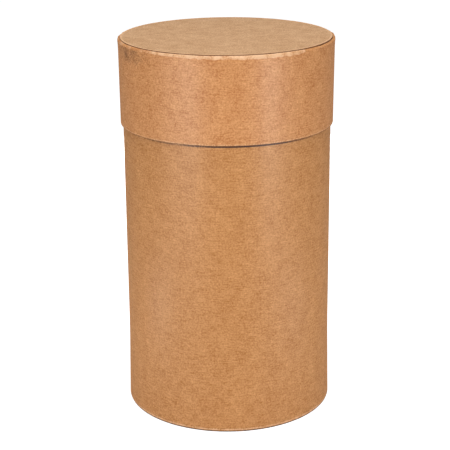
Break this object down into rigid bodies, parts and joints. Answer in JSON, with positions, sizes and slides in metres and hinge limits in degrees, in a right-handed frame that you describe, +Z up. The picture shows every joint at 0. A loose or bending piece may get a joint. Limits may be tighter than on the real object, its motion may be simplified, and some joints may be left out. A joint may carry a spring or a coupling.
{
  "type": "fiber drum",
  "caption": "Round upright drum of wound kraft board with a turned-in foot and a deep slip-on lid with a rolled shoulder, for packing and shipping dry goods.",
  "frame": {"origin": "on the floor, at the middle of the drum's foot", "axes": "+Z up along the drum's axis, -Y towards the front, +X to the right seen from the front"},
  "size_m": [0.3103, 0.31, 0.55],
  "materials": {
    "drum_kraft": "matte",
    "bottom_kraft": "matte",
    "lid_kraft": "matte",
    "lid_top_kraft": "matte"
  },
  "bodies": {
    "drum": {"drum_body": "drum_kraft", "bottom_disc": "bottom_kraft"},
    "lid": {"lid_rim": "lid_kraft", "lid_disc": "lid_top_kraft"}
  },
  "joints": [
    {"name": "lid_lift", "type": "slide", "parent": "drum", "child": "lid", "axis": [0, 0, 1], "range_m": [0, 0.15]}
  ]
}
